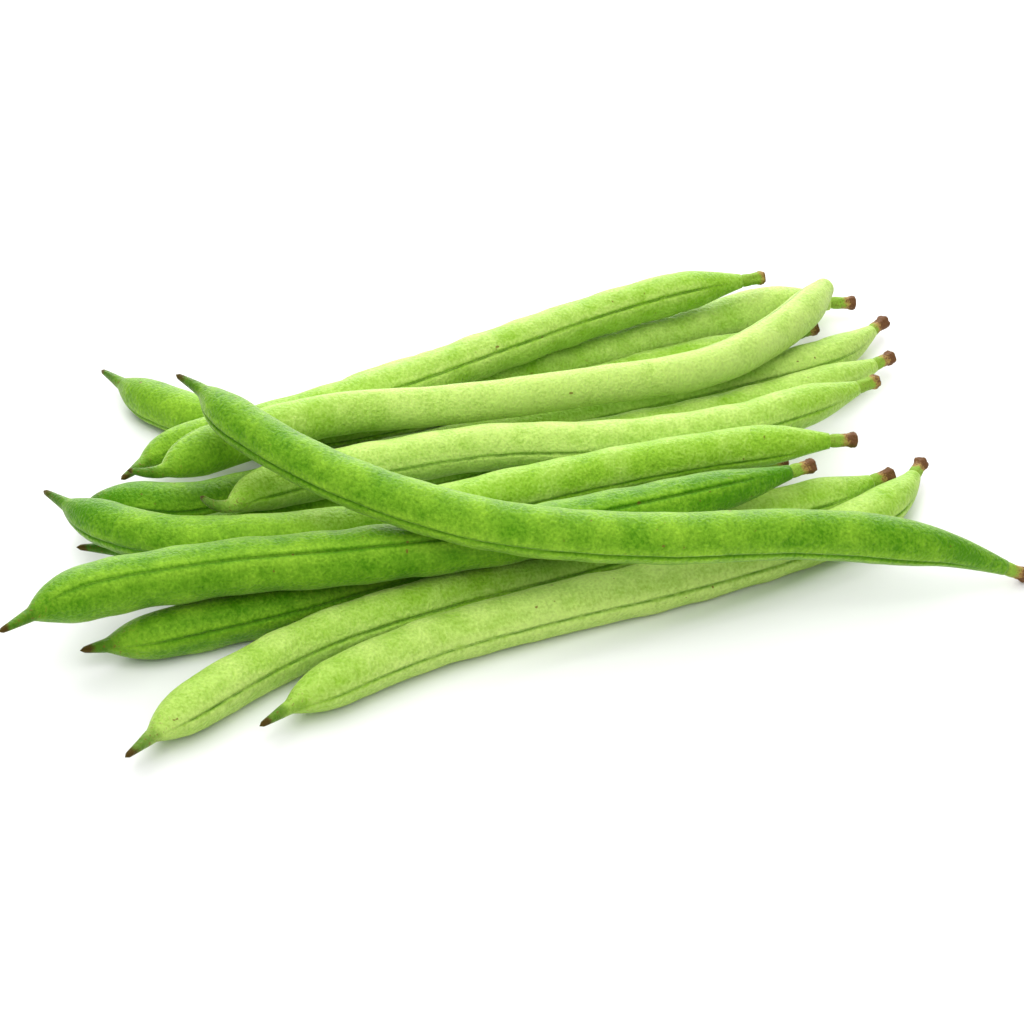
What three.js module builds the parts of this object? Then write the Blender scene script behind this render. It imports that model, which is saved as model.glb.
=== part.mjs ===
// A loose bundle of fresh green beans, laid one on another as they lie on a table.
// Units are millimetres, +Z is up, and the table is the plane z = 0.

import * as THREE from 'three';

// The beak is the thin point at the blossom end, and the neck is the taper at the stalk end.
const BEAK_LENGTH = 6.5;
const BEAK_TIP_RADIUS = 0.4;
const BEAK_ROOT_RADIUS = 1.2;
const SHOULDER_LENGTH = 10;
const NECK_LENGTH = 13;
const NECK_RADIUS = 1.2;
const BROKEN_NECK_RADIUS = 1.7;

// Where the pod's rings lie, as parts of the beak, of the shoulder and of the neck.
const BEAK_RINGS = [0.15, 0.5, 0.9];
const SHOULDER_RINGS = [0.2, 0.5];
const NECK_RINGS = [0.45, 0.75, 1];

// Seeds swell the pod's two broad sides, and a narrow groove marks each of its two seams.
const SEED_PITCH = 10;
const SEED_SWELL = 0.035;
const OVALITY = 0.03;
const SEAM_DEPTH = 0.09;
const GROOVED_FROM = 0.65;
const SEAM_TOLERANCE = 0.1;
const POD_ANGLES = [0, 14, 52, 90, 128, 166, 180, 194, 232, 270, 308, 346];

// The stub of stalk left after picking, with the dried rim of the flower's cup.
const STALK_LENGTH = 4.2;
const STALK_GAP = 0.3;
const STALK_SIDES = 8;
const STALK_PROFILE = [[0, 1.15], [0.4, 1.05], [0.8, 1.3], [1, 1.1]];
const STALK_REACH = 1.3;
const STALK_COLOR = 0x7d6a35;

// How the beans lie: clear of each other, and a little flattened where they meet the table.
const CLEARANCE = 0.3;
const TABLE_FLATTENING = 0.09;
const LAYING_STEP = 2;

const POD_ROUGHNESS = 0.55;
const STALK_ROUGHNESS = 0.85;

// The beans in the order in which they are laid. Each route runs from beak to stalk in plan, and a third
// number is how far the bean's own bend lifts or drops that point. Girth is the radius near the beak,
// in the middle and near the stalk. Seam is the angle of the front seam above level, at beak and stalk.
// A bean whose beak or neck is unlike the others' gives its own length, and one broke off without a stub.
const BEANS = [
  {
    name: 'back_low', color: 0x8fbf4a, girth: [3.6, 3.7, 3.5], seam: [19, 19],
    route: [[-40, 28], [-29, 31.5], [-5, 44], [23, 59.2], [34, 65.5], [41.5, 70]],
  },
  {
    name: 'back_deep', color: 0x5fa828, girth: [3.9, 3.9, 3.8], seam: [-19, -19],
    route: [[-75, 39], [-66, 30], [-56, 23.5], [-42, 19.5], [-17, 26.5],
      [6, 39], [30, 51.5], [51, 61.5], [65, 62.3]],
  },
  {
    name: 'floor_rear', color: 0x86c044, girth: [3.9, 3.5, 3.5], seam: [19, 19], beak: 4.5,
    route: [[-74, -8], [-71.5, -3.5], [-64, -2.5], [-56, -3.2], [-35, 5.5], [-12, 14.5],
      [14, 25], [39, 35], [60, 45.5], [70, 56.5]],
  },
  {
    name: 'floor_middle', color: 0x5a9e2c, girth: [3.8, 3.8, 3.6], seam: [19, 19],
    route: [[-73, -15], [-58, -15], [-37, -5.5], [-12, 5.5], [12, 15.5], [37, 24.5], [58, 35], [70, 43.7]],
  },
  {
    name: 'floor_young', color: 0x7ab63c, girth: [3.2, 3.4, 3.2], seam: [19, 19],
    route: [[-4, 24.5], [9, 31.5], [20, 37.2], [30, 42], [46, 48.3], [57, 54.5]],
  },
  {
    name: 'floor_hidden', color: 0x67a832, girth: [3.8, 3.9, 3.6], seam: [19, 19],
    route: [[-44, -19], [-20, -12], [0, -5], [15, 0], [35, 5.5], [48, 10.5]],
  },
  {
    name: 'floor_shaded', color: 0x6bb034, girth: [4.0, 4.1, 4.0], seam: [19, 19], beak: 4.5,
    route: [[-69, -43], [-57, -39], [-38, -31.8], [-20, -23.4], [-4, -16], [8, -11]],
  },
  {
    name: 'front_second', color: 0x83c244, girth: [4.0, 4.1, 3.8], seam: [19, 19],
    route: [[-59, -69], [-51, -58.3], [-33, -41.6], [-12, -30], [12, -20], [34, -10], [54, -1], [66, 6]],
  },
  {
    name: 'front_first', color: 0x83c444, girth: [3.9, 4.2, 3.8], seam: [10, 10],
    route: [[-39, -61.8], [-31, -53.8], [-14, -41.8], [6, -32.8], [27, -24.8],
      [47, -15.4], [60, -7.2], [67, 0.8], [71.5, 9.5]],
  },
  {
    name: 'back_top', color: 0x8cc84a, girth: [3.7, 3.9, 3.7], seam: [30, 30],
    route: [[-67, 0.5], [-60, 9.5], [-41, 12.8, 4], [-20, 21, 6.7], [-2, 33, 7],
      [16, 45, 7], [32, 52.8, 7.5], [47, 59, 7]],
  },
  {
    name: 'upper_front', color: 0x6db638, girth: [4.5, 4.5, 3.6], seam: [52, 52], neck: 18,
    route: [[-80, -50], [-70, -41], [-49, -34], [-25, -30], [-2, -25], [20, -17.3], [38, -10.3], [51, -4]],
  },
  {
    name: 'upper_middle', color: 0x92cc50, girth: [3.9, 3.9, 3.7], seam: [12, 12],
    route: [[-52, -12], [-48, -15], [-42, -10], [-24, -2.5], [-4, 3.5],
      [17, 5.3], [38, 10.8], [52, 18], [65, 26]],
  },
  {
    name: 'upper_left', color: 0x78bc3c, girth: [3.9, 3.9, 3.5], seam: [-5, -5],
    route: [[-79, -7], [-70, -15], [-60, -20.5], [-48, -22], [-24, -19],
      [0, -10], [23, -2.5], [44, 2.3], [59, 3.5]],
  },
  {
    name: 'upper_rear', color: 0x9ccf5e, girth: [4.0, 3.3, 3.5], seam: [-60, -60], broken: true,
    route: [[-64, -10.5], [-59, -10.8], [-53, -5], [-33, 7.6], [-9, 13.4],
      [14, 20.4], [36, 28.8], [51, 44.7], [59, 59]],
  },
  {
    name: 'across_top', color: 0x66b22c, girth: [3.7, 4.1, 4.0], seam: [0, -20], neck: 26,
    route: [[-56, -0.5], [-51, -4.5], [-45, -11.5], [-28, -23.5], [-4, -31.7], [22, -31],
      [48, -26, 0.5], [70, -22.7, -1.7], [86, -19.7, -7.5]],
  },
];

function smooth(t) {
  return THREE.MathUtils.smoothstep(t, 0, 1);
}

// Opens quickly and rounds out, as a blunt end does.
function rounded(t) {
  const part = THREE.MathUtils.clamp(t, 0, 1);
  return part * (2 - part);
}

// Opens evenly and then rounds out, as a neck does.
function eased(t) {
  const part = THREE.MathUtils.clamp(t, 0, 1);
  return part * (1 + part - part ** 2);
}

function beakLength(bean) {
  return bean.beak ?? BEAK_LENGTH;
}

function neckLength(bean) {
  return bean.neck ?? NECK_LENGTH;
}

function neckRadius(bean) {
  return bean.broken ? BROKEN_NECK_RADIUS : NECK_RADIUS;
}

// Where the pod ends: at its stub, or at the route's end where the stub broke off.
function podEndAt(bean, length) {
  return bean.broken ? length : length - STALK_LENGTH;
}

// The bean's radius at a distance along it, from the beak's tip to the stalk's end.
function radiusAlong(bean, along, length) {
  const podEnd = podEndAt(bean, length);
  const [beakSide, middle, stalkSide] = bean.girth;
  const half = along / podEnd * 2;
  const body = half < 1
    ? THREE.MathUtils.lerp(beakSide, middle, smooth(half))
    : THREE.MathUtils.lerp(middle, stalkSide, smooth(half - 1));
  const beakPart = Math.min(along / beakLength(bean), 1);
  const beak = THREE.MathUtils.lerp(BEAK_TIP_RADIUS, BEAK_ROOT_RADIUS, beakPart);
  const grown = THREE.MathUtils.lerp(beak, body, rounded((along - beakLength(bean)) / SHOULDER_LENGTH));
  const tapered = eased((podEnd - along) / neckLength(bean));
  return along > podEnd ? STALK_REACH : THREE.MathUtils.lerp(neckRadius(bean), grown, tapered);
}

// The widest reach of the section, seams and swellings included.
function outerRadius(bean, along, length) {
  return radiusAlong(bean, along, length) * (1 + Math.max(OVALITY, SEED_SWELL));
}

// Points every couple of millimetres along the bean in plan, with its own bend as their height.
function planSamples(bean) {
  const points = bean.route.map(([x, y, bend = 0]) => new THREE.Vector3(x, y, bend));
  const curve = new THREE.CatmullRomCurve3(points);
  const length = curve.getLength();
  const count = Math.round(length / LAYING_STEP);
  return curve.getSpacedPoints(count).map((point, i) => {
    const along = length * i / count;
    return { x: point.x, y: point.y, bend: point.z, along, radius: outerRadius(bean, along, length) };
  });
}

// The lowest height at which this point of a bean clears the table and every bean laid before it.
function lowestHeight(sample, laid) {
  let height = sample.radius * (1 - TABLE_FLATTENING);
  for (const other of laid.flat()) {
    const reach = sample.radius + other.radius + CLEARANCE;
    const apart = Math.hypot(sample.x - other.x, sample.y - other.y);
    if (apart < reach) height = Math.max(height, other.z + Math.sqrt(reach ** 2 - apart ** 2));
  }
  return height;
}

// A stiff bean comes to rest on two points, one on each side of its balance point.
function lay(samples, laid) {
  const needed = samples.map((sample) => lowestHeight(sample, laid) - sample.bend);
  const weight = samples.reduce((sum, { radius }) => sum + radius ** 2, 0);
  const balance = samples.reduce((sum, { radius, along }) => sum + radius ** 2 * along, 0) / weight;
  let rest = { height: -Infinity, slope: 0 };
  samples.forEach((a, i) => {
    if (a.along > balance) return;
    samples.forEach((b, j) => {
      if (b.along <= balance) return;
      const slope = (needed[j] - needed[i]) / (b.along - a.along);
      const height = needed[i] + slope * (balance - a.along);
      if (height > rest.height) rest = { height, slope };
    });
  });
  return samples.map((sample) => (
    { ...sample, z: rest.height + rest.slope * (sample.along - balance) + sample.bend }
  ));
}

// A closed solid through rings of points, with a single point at each end.
function ringSolid(start, rings, end) {
  const sides = rings[0].length;
  const positions = [start, ...rings.flat(), end].flatMap((point) => point.toArray());
  const last = rings.length * sides + 1;
  const corner = (ring, side) => 1 + ring * sides + side % sides;
  const index = [];
  for (let side = 0; side < sides; side += 1) {
    index.push(0, corner(0, side), corner(0, side + 1));
    for (let ring = 0; ring < rings.length - 1; ring += 1) {
      const [a, b] = [corner(ring, side), corner(ring, side + 1)];
      const [c, d] = [corner(ring + 1, side), corner(ring + 1, side + 1)];
      index.push(a, d, b, a, c, d);
    }
    index.push(last, corner(rings.length - 1, side + 1), corner(rings.length - 1, side));
  }
  const geometry = new THREE.BufferGeometry();
  geometry.setAttribute('position', new THREE.Float32BufferAttribute(positions, 3));
  geometry.setIndex(index);
  geometry.computeVertexNormals();
  return geometry;
}

// A ring of points round the bean's middle line. Angle 0 is its front side, and 90 degrees is its top.
function ringAround(curve, t, angles, radiusAt) {
  const centre = curve.getPointAt(t);
  const forward = curve.getTangentAt(t);
  const side = new THREE.Vector3().crossVectors(forward, new THREE.Vector3(0, 0, 1)).normalize();
  const top = new THREE.Vector3().crossVectors(side, forward);
  return angles.map((angle) => {
    const turn = THREE.MathUtils.degToRad(angle);
    const radius = radiusAt(turn);
    return centre.clone()
      .addScaledVector(side, radius * Math.cos(turn))
      .addScaledVector(top, radius * Math.sin(turn));
  });
}

// The places of the rings along a pod: close at the beak and neck, two for each seed between them.
function podStations(bean, podEnd) {
  const beak = beakLength(bean);
  const neck = neckLength(bean);
  const bodyStart = beak + SHOULDER_LENGTH;
  const bodyEnd = podEnd - neck;
  const halves = 2 * Math.round((bodyEnd - bodyStart) / SEED_PITCH);
  const body = Array.from({ length: halves + 1 }, (_, i) => (
    { along: bodyStart + (bodyEnd - bodyStart) * i / halves, swell: i % 2 }
  ));
  const smoothRings = (parts, start, span) => parts.map((part) => ({ along: start + part * span, swell: 0 }));
  return [
    ...smoothRings(BEAK_RINGS, 0, beak),
    ...smoothRings(SHOULDER_RINGS, beak, SHOULDER_LENGTH),
    ...body,
    ...smoothRings(NECK_RINGS, bodyEnd, neck),
  ];
}

function podGeometry(bean, curve, length) {
  const podEnd = podEndAt(bean, length);
  const rings = podStations(bean, podEnd).map(({ along, swell }) => {
    const seamAngle = THREE.MathUtils.lerp(bean.seam[0], bean.seam[1], along / podEnd);
    const seamTurn = THREE.MathUtils.degToRad(seamAngle);
    const radius = radiusAlong(bean, along, length);
    const grooved = radius > bean.girth[1] * GROOVED_FROM ? SEAM_DEPTH : 0;
    const ring = ringAround(curve, along / length, POD_ANGLES.map((angle) => angle + seamAngle), (turn) => {
      const fromSeam = turn - seamTurn;
      const atSeam = Math.abs(Math.sin(fromSeam)) < SEAM_TOLERANCE;
      const oval = OVALITY * Math.cos(fromSeam) ** 2;
      const swollen = SEED_SWELL * swell * Math.sin(fromSeam) ** 2;
      return radius * (1 + oval + swollen - (atSeam ? grooved : 0));
    });
    ring.forEach((point) => point.setZ(Math.max(point.z, 0)));
    return ring;
  });
  return ringSolid(curve.getPointAt(0), rings, curve.getPointAt(podEnd / length));
}

function stalkGeometry(curve, length) {
  const start = length - STALK_LENGTH + STALK_GAP;
  const placeOf = (part) => (start + (length - start) * part) / length;
  const angles = Array.from({ length: STALK_SIDES }, (_, i) => 360 * i / STALK_SIDES);
  const rings = STALK_PROFILE.map(([part, radius]) => ringAround(curve, placeOf(part), angles, () => radius));
  return ringSolid(curve.getPointAt(placeOf(0)), rings, curve.getPointAt(1));
}

const bundle = new THREE.Group();
const laid = [];

for (const bean of BEANS) {
  const path = lay(planSamples(bean), laid);
  laid.push(path);
  const curve = new THREE.CatmullRomCurve3(path.map(({ x, y, z }) => new THREE.Vector3(x, y, z)));
  const length = curve.getLength();

  const podMaterial = new THREE.MeshStandardMaterial({
    color: bean.color, roughness: POD_ROUGHNESS, metalness: 0,
  });
  const pod = new THREE.Mesh(podGeometry(bean, curve, length), podMaterial);
  pod.name = `pod_${bean.name}`;
  bundle.add(pod);
  if (bean.broken) continue;

  const stalkMaterial = new THREE.MeshStandardMaterial({
    color: STALK_COLOR, roughness: STALK_ROUGHNESS, metalness: 0,
  });
  const stalk = new THREE.Mesh(stalkGeometry(curve, length), stalkMaterial);
  stalk.name = `stalk_${bean.name}`;
  bundle.add(stalk);
}

// The origin is on the table, under the middle of the bundle's box.
const middle = new THREE.Box3().setFromObject(bundle).getCenter(new THREE.Vector3());
bundle.position.set(-middle.x, -middle.y, 0);
export default bundle;
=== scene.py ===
# %% [markdown]
# # A loose bundle of fresh green beans
# Fifteen French beans lie one on another on a pale table. Each bean is a green pod with a thin beak at its
# blossom end, and the cut stub of its stalk at the other. The plain solids give every bean its place and
# thickness. This lesson dresses each of them as the vegetable itself: the seams and the seeds that show
# through the pod, the velvety skin with its dark beak, the dry brown stub, and then the light.

import math

import bmesh
import bpy
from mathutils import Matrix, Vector


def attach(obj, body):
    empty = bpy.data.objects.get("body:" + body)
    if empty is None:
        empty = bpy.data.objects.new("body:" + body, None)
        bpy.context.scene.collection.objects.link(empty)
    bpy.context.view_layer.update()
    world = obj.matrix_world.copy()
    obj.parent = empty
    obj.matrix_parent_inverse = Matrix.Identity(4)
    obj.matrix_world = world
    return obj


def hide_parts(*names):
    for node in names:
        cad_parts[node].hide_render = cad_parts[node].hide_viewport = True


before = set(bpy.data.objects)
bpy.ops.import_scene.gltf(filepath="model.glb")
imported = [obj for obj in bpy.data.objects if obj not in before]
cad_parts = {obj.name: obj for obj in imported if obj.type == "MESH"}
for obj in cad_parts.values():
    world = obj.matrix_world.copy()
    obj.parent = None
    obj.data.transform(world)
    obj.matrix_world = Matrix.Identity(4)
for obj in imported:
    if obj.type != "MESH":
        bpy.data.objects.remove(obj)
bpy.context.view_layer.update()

# %% [markdown]
# ## What differs from bean to bean
# Beans of one picking are never quite alike. Each gets its thickness near the beak, in the middle and near
# the stalk, the height of its front seam above level, the lengths of its beak and neck, how light its green
# is at the beak, in the middle and at the stalk, and how dry its stub. The three greens hold the bean's own
# tone and painted shade as well: a stretch that lies in the shade of other beans is given a darker green. A
# green of zero is deep and pure, and one is a pale green on its way to yellow. A dryness of zero is a fresh
# green stub, and one is brown all over. A table of a few numbers is easier to read and to change than
# fifteen separate pieces of code. One bean broke off its stalk, so it has a blunt end and no stub.

# %% The beans
MM = 0.001

# name: (radii in mm), (seam at beak and stalk in degrees), beak and neck in mm, (green at beak, middle and
# stalk, with painted shade), dryness
BEANS = {
    "back_low": ((3.6, 3.7, 3.5), (19, 19), 6.5, 13, (0.7, 0.8, 0.8), 0.5),
    "back_deep": ((3.9, 3.9, 3.8), (-19, -19), 6.5, 13, (0.2, 0.6, 0.9), 0.55),
    "floor_rear": ((3.9, 3.5, 3.5), (19, 19), 4.5, 13, (0.0, 0.6, 0.9), 1.0),
    "floor_middle": ((3.8, 3.8, 3.6), (19, 19), 6.5, 13, (0.0, 0.6, 0.75), 0.7),
    "floor_young": ((3.2, 3.4, 3.2), (19, 19), 6.5, 13, (0.4, 0.5, 0.6), 0.45),
    "floor_hidden": ((3.8, 3.9, 3.6), (19, 19), 6.5, 13, (0.2, 0.3, 0.3), 0.6),
    "floor_shaded": ((4.0, 4.1, 4.0), (19, 19), 4.5, 13, (0.25, 0.1, 0.1), 0.6),
    "front_second": ((4.0, 4.1, 3.8), (19, 19), 6.5, 13, (0.75, 0.6, 0.65), 0.8),
    "front_first": ((3.9, 4.2, 3.8), (10, 10), 6.5, 13, (0.7, 0.85, 0.6), 0.75),
    "back_top": ((3.7, 3.9, 3.7), (30, 30), 6.5, 13, (0.3, 0.7, 0.55), 0.25),
    "upper_front": ((4.5, 4.5, 3.6), (52, 52), 6.5, 18, (0.15, 0.15, 0.05), 0.65),
    "upper_middle": ((3.9, 3.9, 3.7), (12, 12), 6.5, 13, (0.6, 0.9, 0.6), 0.35),
    "upper_left": ((3.9, 3.9, 3.5), (-5, -5), 6.5, 13, (0.0, 0.5, 0.5), 0.65),
    "upper_rear": ((4.0, 3.3, 3.5), (-60, -60), 6.5, 13, (0.3, 1.0, 0.9), None),
    "across_top": ((3.7, 4.1, 4.0), (0, -20), 6.5, 26, (0.15, 0.2, 0.05), 0.7),
}
WITH_STUB = [name for name, bean in BEANS.items() if bean[-1] is not None]
print(len(BEANS), "beans,", len(WITH_STUB), "of them with a stub")

# %% [markdown]
# ## The middle line of a bean
# A plain solid is a stack of rings between two end points. Its middle line could be typed in again, but the
# solid already holds it: walking outwards from the end point, edge by edge, gives one ring after another,
# and the mean of a ring is a point of the middle line. A fine bean that is built on this line is sure to lie
# where its solid lies. The solid's triangles are loose, so a copy of them is merged first. An end point is
# known by its edges, because it joins all the corners of a ring and no other point has as many.


# %% Read the rings of a solid
FEWEST_SIDES = 8
MERGE_DISTANCE = 0.001 * MM


def middle_line(node):
    solid = bmesh.new()
    solid.from_mesh(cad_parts[node].data)
    bmesh.ops.remove_doubles(solid, verts=solid.verts, dist=MERGE_DISTANCE)
    ends = [vert for vert in solid.verts if len(vert.link_edges) >= FEWEST_SIDES]
    ring = [min(ends, key=lambda vert: vert.co.x)]
    met = set(ring)
    points = [ring[0].co.copy()]
    while ring:
        ring = [edge.other_vert(vert) for vert in ring for edge in vert.link_edges]
        ring = list(dict.fromkeys(vert for vert in ring if vert not in met))
        met.update(ring)
        if len(ring) > 1:
            points.append(sum((vert.co for vert in ring), Vector()) / len(ring))
    solid.free()
    return points


def line_length(points):
    return sum((b - a).length for a, b in zip(points, points[1:]))


lines = {name: middle_line(f"pod_{name}") for name in BEANS}
for name, points in lines.items():
    print(name, len(points) - 1, "rings,", round(line_length(points) / MM), "mm long")

# %% [markdown]
# ## A short way to write node trees
# Both shapes and skins are made of nodes here. Linked by hand they are hard to read, so a small class wraps
# an output, and sums and products of outputs add their own Math nodes. The reflected forms matter as well:
# without them `1 - mask` would fail, because the number comes first. One method makes any other node. It
# applies the settings before the sockets, because a setting can change which sockets a node has.


# %% Wires and graphs
class Wire:
    """One output of a node. Arithmetic on it adds the Math node for it."""

    def __init__(self, graph, socket):
        self.graph = graph
        self.socket = socket

    def __add__(self, other):
        return self.graph.math("ADD", self, other)

    def __radd__(self, other):
        return self.graph.math("ADD", other, self)

    def __sub__(self, other):
        return self.graph.math("SUBTRACT", self, other)

    def __rsub__(self, other):
        return self.graph.math("SUBTRACT", other, self)

    def __mul__(self, other):
        return self.graph.math("MULTIPLY", self, other)

    def __rmul__(self, other):
        return self.graph.math("MULTIPLY", other, self)

    def __truediv__(self, other):
        return self.graph.math("DIVIDE", self, other)


class Graph:
    """Adds nodes to one tree, of a shader or of Geometry Nodes."""

    def __init__(self, tree):
        self.tree = tree

    def node(self, kind, settings=None, sockets=None, output=0):
        made = self.tree.nodes.new(kind)
        for name, value in (settings or {}).items():
            if name == "points":
                shape_curve(made.mapping, value)
            else:
                setattr(made, name, value)
        for key, value in (sockets or {}).items():
            self.feed(made.inputs[key], value)
        return Wire(self, made.outputs[output])

    def feed(self, socket, value):
        if isinstance(value, Wire):
            self.tree.links.new(value.socket, socket)
        else:
            socket.default_value = value

    def math(self, operation, *values):
        return self.node("ShaderNodeMath", {"operation": operation}, dict(enumerate(values)))

    def step(self, value, low, high):
        """Rises smoothly from 0 at low to 1 at high."""
        sockets = {"Value": value, "From Min": low, "From Max": high}
        return self.node("ShaderNodeMapRange", {"interpolation_type": "SMOOTHSTEP"}, sockets)

    def vector(self, operation, *values):
        return self.node("ShaderNodeVectorMath", {"operation": operation}, dict(enumerate(values)))

    def scaled(self, vector, factor):
        return self.node("ShaderNodeVectorMath", {"operation": "SCALE"}, {0: vector, "Scale": factor})

    def noise(self, place, size, detail=2.0):
        """Noise whose lumps are about the given size, in metres."""
        sockets = {"Vector": place, "Scale": 1 / size, "Detail": detail}
        return self.node("ShaderNodeTexNoise", None, sockets)

    def colour(self, factor, first, second):
        """Mixes two colours. The sockets go by number, because those of other types share their names."""
        return self.node("ShaderNodeMix", {"data_type": "RGBA"}, {0: factor, 6: first, 7: second}, output=2)


def shape_curve(mapping, points):
    curve = mapping.curves[0]
    while len(curve.points) < len(points):
        curve.points.new(0.5, 0.5)
    for place, point in zip(points, curve.points):
        point.location = place
        point.handle_type = "VECTOR"
    mapping.update()


print("graph helper ready")

# %% [markdown]
# ## One tree for anything that is swept along a line
# A pod and a stalk are both a round section that travels along a bent line while its radius changes. Curve
# to Mesh does the travelling. Before it, the line is smoothed through the ring middles, evenly resampled and
# given its radius. Three values are stored on the way, because the rules for seams, seeds and skin need
# them: how far along the line a point lies, its turn round the line, and the middle that it belongs to.
# Curve tilt turns the section, so that its first point runs along the bean's front seam.


# %% Start a tree with named inputs
SOCKET_KINDS = {float: "NodeSocketFloat", int: "NodeSocketInt"}


def start_tree(name, inputs):
    tree = bpy.data.node_groups.new(name, "GeometryNodeTree")
    graph = Graph(tree)
    tree.interface.new_socket("Line", in_out="INPUT", socket_type="NodeSocketGeometry")
    for label, value in inputs.items():
        item = tree.interface.new_socket(label, in_out="INPUT", socket_type=SOCKET_KINDS[type(value)])
        item.default_value = value
    tree.interface.new_socket("Skin", in_out="INPUT", socket_type="NodeSocketMaterial")
    tree.interface.new_socket("Mesh", in_out="OUTPUT", socket_type="NodeSocketGeometry")
    given = tree.nodes.new("NodeGroupInput")
    return graph, {socket.name: Wire(graph, socket) for socket in given.outputs if socket.name}


def stored(graph, geometry, name, value, data_type="FLOAT"):
    return graph.node("GeometryNodeStoreNamedAttribute", {"data_type": data_type},
                      {"Geometry": geometry, "Name": name, "Value": value})


def named(graph, name, data_type="FLOAT"):
    return graph.node("GeometryNodeInputNamedAttribute", {"data_type": data_type}, {"Name": name})


def length_along(graph):
    return graph.node("GeometryNodeSplineParameter", output="Length")


print("tree helpers ready")

# %% [markdown]
# The section is a circle of radius one. A seam is a groove less than a millimetre wide, and an even circle
# would need hundreds of points to show it. So the points are drawn together at the two seams and spread out
# on the broad sides between them, by taking some of the sine of the double angle off each angle.


# %% The section and the sweep
CROWDING = 0.36


def section(graph, sides, crowding):
    circle = graph.node("GeometryNodeCurvePrimitiveCircle", None, {"Resolution": sides, "Radius": 1.0})
    angle = graph.node("GeometryNodeSplineParameter") * math.tau
    turn = angle - crowding * graph.math("SINE", 2 * angle)
    place = graph.node("ShaderNodeCombineXYZ", None,
                       {"X": graph.math("COSINE", turn), "Y": graph.math("SINE", turn)})
    circle = stored(graph, circle, "turn", turn)
    return graph.node("GeometryNodeSetPosition", None, {"Geometry": circle, "Position": place})


def smooth_line(graph, line, spacing):
    curve = graph.node("GeometryNodeMeshToCurve", None, {"Mesh": line})
    curve = graph.node("GeometryNodeCurveSplineType", {"spline_type": "CATMULL_ROM"}, {"Curve": curve})
    curve = graph.node("GeometryNodeResampleCurve", {"mode": "LENGTH"}, {"Curve": curve, "Length": spacing})
    return graph.node("GeometryNodeSetCurveNormal", {"mode": "Z_UP"}, {"Curve": curve})


def sweep(graph, curve, radius, tilt, round_section):
    curve = stored(graph, curve, "along", length_along(graph))
    curve = stored(graph, curve, "middle", graph.node("GeometryNodeInputPosition"), "FLOAT_VECTOR")
    curve = graph.node("GeometryNodeSetCurveTilt", None, {"Curve": curve, "Tilt": tilt})
    return graph.node("GeometryNodeCurveToMesh", None,
                      {"Curve": curve, "Profile Curve": round_section, "Scale": radius, "Fill Caps": True})


def reshape(graph, mesh, factor):
    """Moves every point away from its middle by a factor, and keeps it above the table."""
    middle = named(graph, "middle", "FLOAT_VECTOR")
    outwards = graph.vector("SUBTRACT", graph.node("GeometryNodeInputPosition"), middle)
    place = graph.vector("ADD", middle, graph.scaled(outwards, factor))
    mesh = graph.node("GeometryNodeSetPosition", None, {"Geometry": mesh, "Position": place})
    above = graph.vector("MAXIMUM", graph.node("GeometryNodeInputPosition"), (-1.0, -1.0, 0.0))
    return graph.node("GeometryNodeSetPosition", None, {"Geometry": mesh, "Position": above})


def close_tree(graph, mesh, skin):
    mesh = graph.node("GeometryNodeRemoveAttribute", None, {"Geometry": mesh, "Name": "middle"})
    mesh = graph.node("GeometryNodeSetShadeSmooth", None, {"Geometry": mesh})
    mesh = graph.node("GeometryNodeRealizeInstances", None, {"Geometry": mesh})
    mesh = graph.node("GeometryNodeSetMaterial", None, {"Geometry": mesh, "Material": skin})
    end = graph.tree.nodes.new("NodeGroupOutput")
    graph.feed(end.inputs["Mesh"], mesh)
    return graph.tree


print("sweep ready")

# %% [markdown]
# ## The pod
# A pod grows by a rule that is easy to state. The beak widens evenly from its tip, the shoulder behind it
# opens quickly and rounds out, the body keeps a slowly changing thickness, and the neck closes evenly towards
# the stalk. Both ends are rounded off, so that no flat cap shows.


# %% The pod's radius
TIP_ROUNDING = 0.9 * MM
SMALLEST_PART = 0.03


def rounded(graph, value):
    """Opens quickly and rounds out, from 0 to 1."""
    part = graph.node("ShaderNodeClamp", None, {"Value": value})
    return part * (2 - part)


def eased(graph, value):
    """Opens evenly and then rounds out, from 0 to 1."""
    part = graph.node("ShaderNodeClamp", None, {"Value": value})
    return part * (1 + part - part * part)


def through_three(graph, half, values):
    """Goes smoothly from the first value through the second to the third, while half goes from 0 to 2."""
    first, second, third = values
    early, late = graph.step(half, 0.0, 1.0), graph.step(half, 1.0, 2.0)
    return first + (second - first) * early + (third - second) * late


def pod_radius(graph, given, along, left):
    beak = given["Tip Radius"] + (given["Root Radius"] - given["Tip Radius"]) * graph.math(
        "MINIMUM", along / given["Beak Length"], 1.0)
    girths = (given["Girth At Beak"], given["Girth In Middle"], given["Girth At Stalk"])
    body = through_three(graph, 2 * along / (along + left), girths)
    shoulder = rounded(graph, (along - given["Beak Length"]) / given["Shoulder Length"])
    grown = beak + (body - beak) * shoulder
    neck = eased(graph, left / given["Neck Length"])
    tapered = given["Neck Radius"] + (grown - given["Neck Radius"]) * neck
    closed = rounded(graph, along / TIP_ROUNDING) * rounded(graph, left / given["End Rounding"])
    return tapered * (SMALLEST_PART + (1 - SMALLEST_PART) * closed)


print("pod radius ready")

# %% [markdown]
# ## Seams, seeds and lumps
# Seeds push the two broad sides out, about one a centimetre. Each seam is a narrow groove between two low
# lips, and it fades out towards both ends of the pod. Soft lumps of noise take away the look of a turned
# part. Each kind of relief adds its share to one factor close to one, by which every point moves away from
# its middle, so a kind can be changed without touching the others.


# %% The pod's relief
NECK_SEAM_ENDS, NECK_SEAM_STARTS = 4 * MM, 14 * MM
SEED_EDGE = 2 * MM
STRETCH_SIZE, LUMP_SIZE, WRINKLE_SIZE = 22 * MM, 8 * MM, 2.2 * MM


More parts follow.
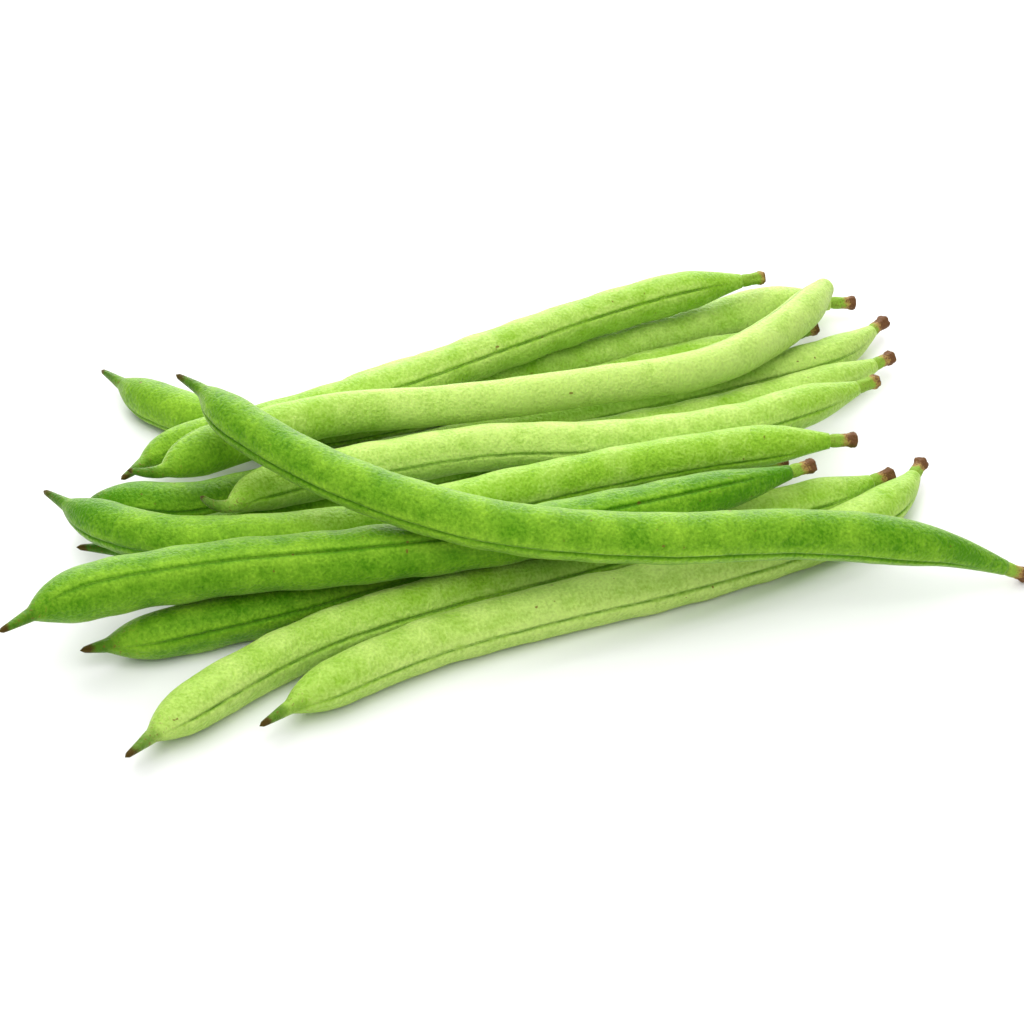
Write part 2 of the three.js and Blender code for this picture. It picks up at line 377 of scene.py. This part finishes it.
def seam_relief(graph, given, along, across, front):
    """A groove between two low lips, deeper at the front and on some stretches of the pod."""
    width = given["Seam Width"]
    groove = 1 - graph.step(across, 0.0, width)
    lips = graph.step(across, 0.6 * width, 1.5 * width) - graph.step(across, 1.6 * width, 5.5 * width)
    stretch = graph.noise(named(graph, "middle", "FLOAT_VECTOR"), STRETCH_SIZE)
    strength = (0.5 + 0.5 * front) * (0.35 + graph.step(stretch, 0.3, 0.65))
    strength = strength * graph.step(along, given["Beak Length"], 2.2 * given["Beak Length"])
    strength = strength * graph.step(given["Pod Length"] - along, NECK_SEAM_ENDS, NECK_SEAM_STARTS)
    return strength * (given["Lip Height"] * lips - given["Seam Depth"] * groove)


def seed_relief(graph, given, along, broad):
    """One swelling for each seed, between the shoulder and the neck."""
    seeds_end = given["Seed Start"] + given["Seed Pitch"] * given["Seed Count"]
    wave = 0.5 - 0.5 * graph.math("COSINE", math.tau * (along - given["Seed Start"]) / given["Seed Pitch"])
    seeded = graph.step(along, given["Seed Start"] - SEED_EDGE, given["Seed Start"] + SEED_EDGE)
    seeded = seeded * (1 - graph.step(along, seeds_end - SEED_EDGE, seeds_end + SEED_EDGE))
    return wave * seeded * broad


def pod_relief(graph, given, along, turn):
    across = graph.math("ABSOLUTE", graph.math("SINE", turn))
    broad = across * across
    front = graph.math("GREATER_THAN", graph.math("COSINE", turn), 0.0)
    place = graph.node("GeometryNodeInputPosition")
    lumps = 2 * graph.noise(place, LUMP_SIZE) - 1
    wrinkles = 2 * graph.noise(place, WRINKLE_SIZE) - 1
    bulge = given["Seed Swell"] * seed_relief(graph, given, along, broad) + given["Lump Height"] * lumps
    factor = (1 + given["Ovality"] * (1 - broad) + bulge + given["Wrinkle Height"] * wrinkles
              + seam_relief(graph, given, along, across, front))
    return factor, bulge / given["Seed Swell"]


print("pod relief ready")

# %% [markdown]
# ## The pod's tree
# The tree joins the line, the radius and the relief. Each of its inputs has a name and a usual value, and a
# bean sets only those in which it differs.


# %% Make the pod's tree
def make_pod_tree():
    graph, given = start_tree("pod_along_a_line", {
        "Ring Spacing": 0.7 * MM, "Sides": 60, "Pod Length": 130 * MM,
        "Tip Radius": 0.4 * MM, "Root Radius": 1.2 * MM, "Beak Length": 6.5 * MM,
        "Shoulder Length": 10 * MM, "Neck Length": 13 * MM, "Neck Radius": 1.2 * MM, "End Rounding": 0.5 * MM,
        "Girth At Beak": 4 * MM, "Girth In Middle": 4 * MM, "Girth At Stalk": 4 * MM,
        "Seam At Beak": 0.0, "Seam At Stalk": 0.0, "Seam Width": 0.10, "Seam Depth": 0.065,
        "Lip Height": 0.014, "Ovality": 0.03, "Seed Start": 16.5 * MM, "Seed Pitch": 10 * MM,
        "Seed Count": 9.0, "Seed Swell": 0.05, "Lump Height": 0.07, "Wrinkle Height": 0.008,
    })
    curve = smooth_line(graph, given["Line"], given["Ring Spacing"])
    along = length_along(graph)
    left = given["Pod Length"] - along
    tilt = given["Seam At Beak"] + (given["Seam At Stalk"] - given["Seam At Beak"]) * (
        along / given["Pod Length"])
    radius = pod_radius(graph, given, along, left)
    mesh = sweep(graph, curve, radius, 0 - tilt, section(graph, given["Sides"], CROWDING))
    factor, bulge = pod_relief(graph, given, named(graph, "along"), named(graph, "turn"))
    mesh = stored(graph, mesh, "bulge", bulge)
    return close_tree(graph, reshape(graph, mesh, factor), given["Skin"])


pod_tree = make_pod_tree()
print("pod tree has", len(pod_tree.nodes), "nodes")

# %% [markdown]
# ## From a tree to a plain mesh
# The tree runs as a modifier on a chain of edges. Its inputs are set by the identifier of each socket, before
# the object is first evaluated. The result is then read off as a mesh of its own, and the chain goes away,
# so that what is left is an ordinary piece, at the origin, with its place in its mesh.


# %% Grow a piece on a line
def grow(name, points, tree, inputs, skin):
    chain = bpy.data.meshes.new(f"{name}_line")
    chain.from_pydata(points, [(i, i + 1) for i in range(len(points) - 1)], [])
    carrier = bpy.data.objects.new(f"{name}_line", chain)
    bpy.context.scene.collection.objects.link(carrier)
    grown = carrier.modifiers.new("grow", "NODES")
    grown.node_group = tree
    sockets = {item.name: item.identifier for item in tree.interface.items_tree if item.in_out == "INPUT"}
    for label, value in inputs.items():
        grown[sockets[label]] = value
    grown[sockets["Skin"]] = skin
    depsgraph = bpy.context.evaluated_depsgraph_get()
    mesh = bpy.data.meshes.new_from_object(carrier.evaluated_get(depsgraph))
    bpy.data.objects.remove(carrier)
    mesh.name = name
    piece = bpy.data.objects.new(name, mesh)
    bpy.context.scene.collection.objects.link(piece)
    return piece


print("grow ready")

# %% [markdown]
# ## The skin
# Bean skin is a soft, slightly fuzzy green. Its tone runs through three greens, a deep one, a fresh one and a
# pale one, because a single mix of two would look dull halfway. Close to, it is mottled in flecks well under
# a millimetre, which change its tone, brightness and height together, and faint streaks run round the pod.
# The seam is a darker line between paler lips. The beak turns dark green and ends in a dry brown tip, and a
# few small nicks are rubbed brown. All of this is painted by rule from the stored values and from noise on
# the object's own coordinates, so it stays in place whatever the view. A little sheen stands for the fuzz
# that pales the edges, and light that enters the flesh and comes out again makes the green glow.

# %% Greens and browns
DEEP_GREEN = (0.060, 0.230, 0.001, 1)
FRESH_GREEN = (0.260, 0.500, 0.030, 1)
PALE_GREEN = (0.500, 0.690, 0.165, 1)
SEAM_GREEN = (0.045, 0.180, 0.002, 1)
BEAK_GREEN = (0.035, 0.120, 0.006, 1)
DRY_BROWN = (0.060, 0.026, 0.006, 1)
SCAR_BROWN = (0.150, 0.070, 0.015, 1)
print("greens from", DEEP_GREEN[:3], "through", FRESH_GREEN[:3], "to", PALE_GREEN[:3])


# %% Start and finish a skin
def attribute(graph, name):
    return graph.node("ShaderNodeAttribute", {"attribute_name": name}, output="Fac")


def new_skin(name):
    skin = bpy.data.materials.new(name)
    skin.use_nodes = True
    skin.node_tree.nodes.clear()
    return skin, Graph(skin.node_tree)


def finish_skin(graph, colour, roughness, height, distance, constants):
    bump = graph.node("ShaderNodeBump", None, {"Height": height, "Distance": distance, "Strength": 1.0})
    sockets = {"Base Color": colour, "Roughness": roughness, "Normal": bump, **constants}
    surface = graph.node("ShaderNodeBsdfPrincipled", None, sockets)
    end = graph.tree.nodes.new("ShaderNodeOutputMaterial")
    graph.feed(end.inputs["Surface"], surface)


print("skin helpers ready")

# %% The pod's skin
FLECK_SIZE, BLOTCH_SIZE, PATCH_SIZE = 0.5 * MM, 2.4 * MM, 13 * MM
NICK_SIZE, NICK_SPREAD = 1.3 * MM, 24 * MM
STREAKS_ALONG, STREAKS_ROUND, STREAK_SHIFT = 1400, 2.2, 40
SKIN_BUMP = 0.36 * MM
POD_CONSTANTS = {
    "Subsurface Weight": 0.10, "Subsurface Radius": (0.6, 1.0, 0.2), "Subsurface Scale": 1.0 * MM,
    "Sheen Weight": 0.25, "Sheen Roughness": 0.40, "Sheen Tint": (0.95, 1.0, 0.45, 1),
    "IOR": 1.42, "Specular Tint": (0.7, 1.0, 0.2, 1),
}


def green_of(graph, tone):
    """Deep green at 0, fresh green at a half and pale green at 1."""
    low = graph.node("ShaderNodeClamp", None, {"Value": 2 * tone})
    high = graph.node("ShaderNodeClamp", None, {"Value": 2 * tone - 1})
    return graph.colour(high, graph.colour(low, DEEP_GREEN, FRESH_GREEN), PALE_GREEN)


def pod_skin(name, tone_and_shade, dryness, length):
    skin, graph = new_skin(name)
    place = graph.node("ShaderNodeTexCoord", output="Object")
    along = attribute(graph, "along")
    turn = attribute(graph, "turn")
    flecks = graph.noise(place, FLECK_SIZE, 3.0)
    blotches = graph.noise(place, BLOTCH_SIZE, 3.0)
    patches = graph.noise(place, PATCH_SIZE)
    round_the_pod = graph.node("ShaderNodeCombineXYZ", None, {
        "X": along * STREAKS_ALONG, "Y": turn * STREAKS_ROUND, "Z": STREAK_SHIFT * tone_and_shade[1]})
    streaks = graph.node("ShaderNodeTexNoise", None, {"Vector": round_the_pod, "Scale": 1.0, "Detail": 3.0})

    # The green: paler where a seed or a lump swells the pod, a painted highlight on the swellings, and paler
    # still on the lips of a seam
    across = graph.math("ABSOLUTE", graph.math("SINE", turn))
    in_body = graph.step(along, 6 * MM, 14 * MM) * graph.step(length - along, 3 * MM, 12 * MM)
    lip = in_body * graph.step(across, 0.06, 0.16) * (1 - graph.step(across, 0.20, 0.50))
    # The three greens from the table carry painted shade on the stretches of a bean that lie in shade.
    tone = (through_three(graph, 2 * along / length, tone_and_shade) + 0.16 * attribute(graph, "bulge")
            + 0.16 * lip + 0.20 * (patches - 0.5) + 0.50 * (flecks - 0.5) + 0.35 * (blotches - 0.5)
            + 0.25 * (streaks - 0.5))
    green = graph.scaled(green_of(graph, tone), 0.67 + 0.50 * flecks + 0.16 * blotches)
    seam = in_body * (1 - graph.step(across, 0.02, 0.09)) * (0.2 + 0.6 * graph.step(blotches, 0.35, 0.6))
    green = graph.colour(seam, green, SEAM_GREEN)

    # The beak: dark green with a few brown specks, and a dry tip
    ragged = 2.0 * MM * (blotches - 0.5)
    tip_end = (1.2 + 2.0 * dryness) * MM
    beak = 1 - graph.step(along + 3 * ragged, 3.0 * MM, 8.5 * MM)
    tip = 1 - graph.step(along + 2 * ragged, 0.4 * tip_end, tip_end)
    green = graph.colour(0.8 * beak, green, BEAK_GREEN)
    specks = graph.step(flecks, 0.60, 0.66) * (1 - graph.step(along, 5 * MM, 12 * MM))
    green = graph.colour(0.7 * specks, green, SCAR_BROWN)
    green = graph.colour(tip, green, DRY_BROWN)

    # The nicks: small brown scars that gather in a few places
    nicked = graph.step(graph.noise(place, NICK_SPREAD), 0.50, 0.58)
    nicks = graph.step(graph.noise(place, NICK_SIZE, 1.0), 0.75, 0.79) * nicked
    green = graph.colour(0.8 * nicks, green, SCAR_BROWN)

    roughness = 0.38 + 0.20 * flecks + 0.25 * tip
    height = 0.7 * flecks + 0.5 * blotches + 0.4 * streaks
    finish_skin(graph, green, roughness, height, SKIN_BUMP, POD_CONSTANTS)
    return skin


print("pod skin ready")

# %% [markdown]
# ## Grow the pods
# Each pod takes its numbers from the table. Its seeds start behind the shoulder and stop before the neck,
# and their count is the whole number that gives about one a centimetre.

# %% Fifteen pods
SHOULDER_LENGTH = 10 * MM
BROKEN_NECK_RADIUS = 1.7 * MM
BROKEN_END_ROUNDING = 1.6 * MM
SEED_PITCH = 10 * MM


def make_pod(name):
    girth, seam, beak, neck, tone_and_shade, dryness = BEANS[name]
    length = line_length(lines[name])
    seed_start = beak * MM + SHOULDER_LENGTH
    seeded = length - seed_start - neck * MM
    seeds = round(seeded / SEED_PITCH)
    inputs = {
        "Pod Length": length, "Neck Length": neck * MM,
        "Beak Length": beak * MM, "Shoulder Length": SHOULDER_LENGTH,
        "Girth At Beak": girth[0] * MM, "Girth In Middle": girth[1] * MM, "Girth At Stalk": girth[2] * MM,
        "Seam At Beak": math.radians(seam[0]), "Seam At Stalk": math.radians(seam[1]),
        "Seed Start": seed_start, "Seed Pitch": seeded / seeds, "Seed Count": float(seeds),
    }
    if name not in WITH_STUB:
        inputs.update({"Neck Radius": BROKEN_NECK_RADIUS, "End Rounding": BROKEN_END_ROUNDING})
    skin = pod_skin(f"skin_{name}", tone_and_shade, dryness or 0.0, length)
    return grow(f"bean_{name}", lines[name], pod_tree, inputs, skin)


pods = {name: make_pod(name) for name in BEANS}
for name, pod in pods.items():
    print(pod.name, len(pod.data.polygons), "faces")

# %% [markdown]
# ## The stub of the stalk
# Where the bean was picked, a few millimetres of stalk stay on it. The stub is green and ridged near the
# pod. It flares into the dried rim of the flower's cup and ends in a rough brown break. It is swept in the
# same way as the pod, but here a drawn profile curve gives the radius, because no simple rule does.

# %% The stub's tree
STUB_PROFILE = [(0.0, 0.66), (0.13, 0.74), (0.23, 0.73), (0.45, 0.66), (0.65, 0.69), (0.78, 0.78),
                (0.90, 0.81), (0.96, 0.73), (1.0, 0.42)]
ROUGH_SIZE = 0.7 * MM


def make_stub_tree():
    graph, given = start_tree("stub_along_a_line", {
        "Ring Spacing": 0.1 * MM, "Sides": 48, "Full Radius": 1.6 * MM,
        "Ridges": 5.0, "Ridge Height": 0.08, "Rough Height": 0.20,
    })
    curve = smooth_line(graph, given["Line"], given["Ring Spacing"])
    part = graph.node("GeometryNodeSplineParameter")
    profile = graph.node("ShaderNodeFloatCurve", {"points": STUB_PROFILE}, {"Value": part})
    curve = stored(graph, curve, "part", part)
    mesh = sweep(graph, curve, profile * given["Full Radius"], 0.0, section(graph, given["Sides"], 0.0))
    part = named(graph, "part")
    place = graph.node("GeometryNodeInputPosition")
    ridges = graph.math("COSINE", given["Ridges"] * named(graph, "turn")) * graph.step(part, 0.1, 0.35)
    rough = (2 * graph.noise(place, ROUGH_SIZE) - 1) * graph.step(part, 0.25, 0.75)
    factor = 1 + given["Ridge Height"] * ridges + given["Rough Height"] * rough
    return close_tree(graph, reshape(graph, mesh, factor), given["Skin"])


stub_tree = make_stub_tree()
print("stub tree has", len(stub_tree.nodes), "nodes")

# %% [markdown]
# Its skin goes from the pod's green through a fibrous tan to the dark brown of the dry break. The border is
# ragged, because the noise moves the place at which each colour starts.


# %% The stub's skin
NECK_GREEN = (0.240, 0.420, 0.030, 1)
FIBRE_TAN = (0.380, 0.240, 0.060, 1)
BREAK_BROWN = (0.150, 0.062, 0.018, 1)
GRAIN_SIZE, STAIN_SIZE = 0.3 * MM, 0.9 * MM
STUB_BUMP = 0.2 * MM


def stub_skin(name, dryness):
    skin, graph = new_skin(name)
    place = graph.node("ShaderNodeTexCoord", output="Object")
    part = attribute(graph, "part")
    grains = graph.noise(place, GRAIN_SIZE, 3.0)
    stains = graph.noise(place, STAIN_SIZE)
    dry = part + 0.75 * (dryness - 0.5) + 0.5 * (stains - 0.5)
    colour = graph.colour(graph.step(dry, 0.45, 0.68), NECK_GREEN, FIBRE_TAN)
    colour = graph.colour(graph.step(dry + 0.7 * (grains - 0.5), 0.62, 0.84), colour, BREAK_BROWN)
    colour = graph.colour(0.5 * graph.step(grains, 0.56, 0.66), colour, BREAK_BROWN)
    colour = graph.colour(0.7 * graph.step(part, 0.975, 0.985), colour, FIBRE_TAN)
    finish_skin(graph, colour, 0.6 + 0.3 * grains, grains + stains, STUB_BUMP, {"IOR": 1.4})
    return skin


print("stub skin ready")

# %% [markdown]
# The stub starts a little inside the end of its pod, so that no gap shows between the two.

# %% Fourteen stubs
STUB_SUNK = 0.9 * MM


def make_stub(name):
    points = middle_line(f"stalk_{name}")[1:]
    inwards = (points[0] - points[1]).normalized()
    skin = stub_skin(f"stub_skin_{name}", BEANS[name][-1])
    return grow(f"stub_{name}", [points[0] + STUB_SUNK * inwards, *points], stub_tree, {}, skin)


stubs = {name: make_stub(name) for name in WITH_STUB}
print(len(stubs), "stubs,", sum(len(stub.data.polygons) for stub in stubs.values()), "faces")

# %% [markdown]
# ## Tie the fine pieces to the solids
# Every fine piece rides on the bundle's one body, and the solid that it stands for is hidden.

# %% Ride and replace
for kind, pieces in (("pod", pods), ("stalk", stubs)):
    for name, piece in pieces.items():
        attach(piece, "root")
        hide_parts(f"{kind}_{name}")
print("pieces tied to", len(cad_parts), "solids")

# %% [markdown]
# ## Table, light and camera
# The table is a plain white sheet that runs far past the picture. Three wide soft lamps light the beans. One
# above and one in front share the work evenly, so that the gaps stay green and the shadows soft. The third is
# the widest and stands far behind, where it pales the upper edges as a white backdrop does. A dim pale room
# fills the rest. The camera looks down on the heap at 36 degrees from half a metre.

# %% Table
TABLE_SIZE = 6
TABLE_WHITE = (0.9, 0.9, 0.9, 1)

bpy.ops.mesh.primitive_plane_add(size=TABLE_SIZE)
table = bpy.context.object
table.name = "table_top"
table_skin = bpy.data.materials.new("table_white")
table_skin.use_nodes = True
table_surface = table_skin.node_tree.nodes["Principled BSDF"]
table_surface.inputs["Base Color"].default_value = TABLE_WHITE
table_surface.inputs["Roughness"].default_value = 0.8
table.data.materials.append(table_skin)
print("table is", round(table.dimensions.x, 1), "m wide")


# %% Lamps
# name: place and width in metres, power in watts
LAMPS = {
    "lamp_above": ((-0.12, 0.12, 0.8), 0.9, 4.6),
    "lamp_front": ((0.05, -0.5, 0.75), 0.9, 4.6),
    "lamp_back": ((0, 1.2, 0.5), 1.5, 22.0),
}
ROOM_BRIGHTNESS = 0.28


def add_lamp(name, place, size, power):
    """Adds a round lamp that points at the middle of the table."""
    lamp = bpy.data.lights.new(name, "AREA")
    lamp.shape = "DISK"
    lamp.size = size
    lamp.energy = power
    carrier = bpy.data.objects.new(name, lamp)
    carrier.location = place
    carrier.rotation_euler = (-Vector(place)).to_track_quat("-Z", "Y").to_euler()
    bpy.context.scene.collection.objects.link(carrier)


for name, (place, size, power) in LAMPS.items():
    add_lamp(name, place, size, power)
world = bpy.data.worlds.new("pale_room")
bpy.context.scene.world = world
world.use_nodes = True
room = world.node_tree.nodes["Background"]
room.inputs["Color"].default_value = (1, 1, 1, 1)
room.inputs["Strength"].default_value = ROOM_BRIGHTNESS
print(len(LAMPS), "lamps and a pale room")

# %% Camera
ELEVATION = math.radians(36)
DISTANCE = 0.5
AIM = Vector((-3.25, -0.97, 0)) * MM
SENSOR_WIDTH = 36
FOCAL_LENGTH, PICTURE_WIDTH = 2900, 1024  # both in pixels

camera_data = bpy.data.cameras.new("camera")
camera_data.sensor_width = SENSOR_WIDTH
camera_data.lens = SENSOR_WIDTH * FOCAL_LENGTH / PICTURE_WIDTH
camera = bpy.data.objects.new("camera", camera_data)
camera.location = AIM + DISTANCE * Vector((0, -math.cos(ELEVATION), math.sin(ELEVATION)))
camera.rotation_euler = (math.pi / 2 - ELEVATION, 0, 0)
bpy.context.scene.collection.objects.link(camera)
bpy.context.scene.camera = camera
bpy.context.scene.view_settings.view_transform = "Standard"
print("lens is", round(camera_data.lens, 1), "mm")
